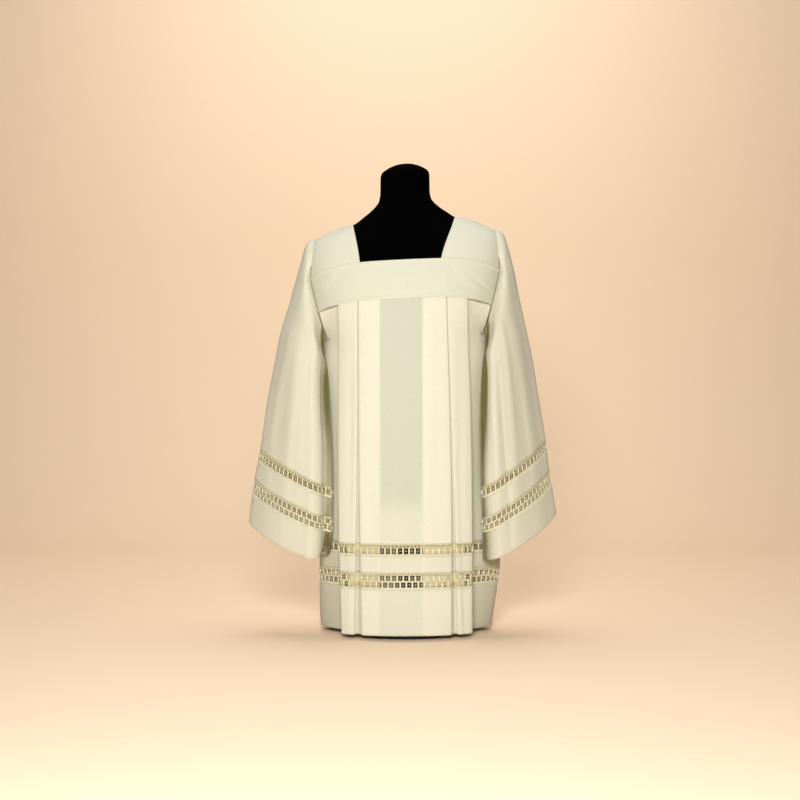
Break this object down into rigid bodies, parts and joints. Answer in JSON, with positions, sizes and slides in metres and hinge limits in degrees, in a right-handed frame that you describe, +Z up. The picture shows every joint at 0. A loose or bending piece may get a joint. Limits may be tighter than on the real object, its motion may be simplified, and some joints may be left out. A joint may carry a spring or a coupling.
{
  "type": "surplice on a dress form",
  "caption": "Ivory pleated surplice with a square yoke, wide open sleeves and open-work lace bands, worn by a black limbless dress form on a round base.",
  "frame": {"origin": "middle of the underside of the dress form's round base, on the floor", "axes": "+Z up, -Y towards the front of the garment, +X to the viewer's right when it is seen from the front"},
  "size_m": [0.7106, 0.3012, 1.0747],
  "materials": {
    "ivory_cloth": "matte fine plain weave",
    "ivory_lace": "matte open-work lace",
    "black_jersey": "matte black jersey",
    "black_metal": "satin black paint"
  },
  "bodies": {
    "root": {"dress_form_stand": "black_metal", "dress_form_torso": "black_jersey", "yoke_front": "ivory_cloth", "yoke_back": "ivory_cloth", "yoke_shoulder_left": "ivory_cloth", "yoke_shoulder_right": "ivory_cloth", "panel_front": "ivory_cloth", "panel_back": "ivory_cloth", "lace_upper_front": "ivory_lace", "lace_upper_back": "ivory_lace", "strip_front": "ivory_cloth", "strip_back": "ivory_cloth", "lace_lower_front": "ivory_lace", "lace_lower_back": "ivory_lace", "hem_band_front": "ivory_cloth", "hem_band_back": "ivory_cloth", "sleeve_left": "ivory_cloth", "sleeve_right": "ivory_cloth", "sleeve_strip_left": "ivory_cloth", "sleeve_strip_right": "ivory_cloth", "sleeve_cuff_left": "ivory_cloth", "sleeve_cuff_right": "ivory_cloth", "sleeve_lace_upper_left_front": "ivory_lace", "sleeve_lace_upper_left_back": "ivory_lace", "sleeve_lace_upper_right_front": "ivory_lace", "sleeve_lace_upper_right_back": "ivory_lace", "sleeve_lace_lower_left_front": "ivory_lace", "sleeve_lace_lower_left_back": "ivory_lace", "sleeve_lace_lower_right_front": "ivory_lace", "sleeve_lace_lower_right_back": "ivory_lace"}
  },
  "joints": []
}
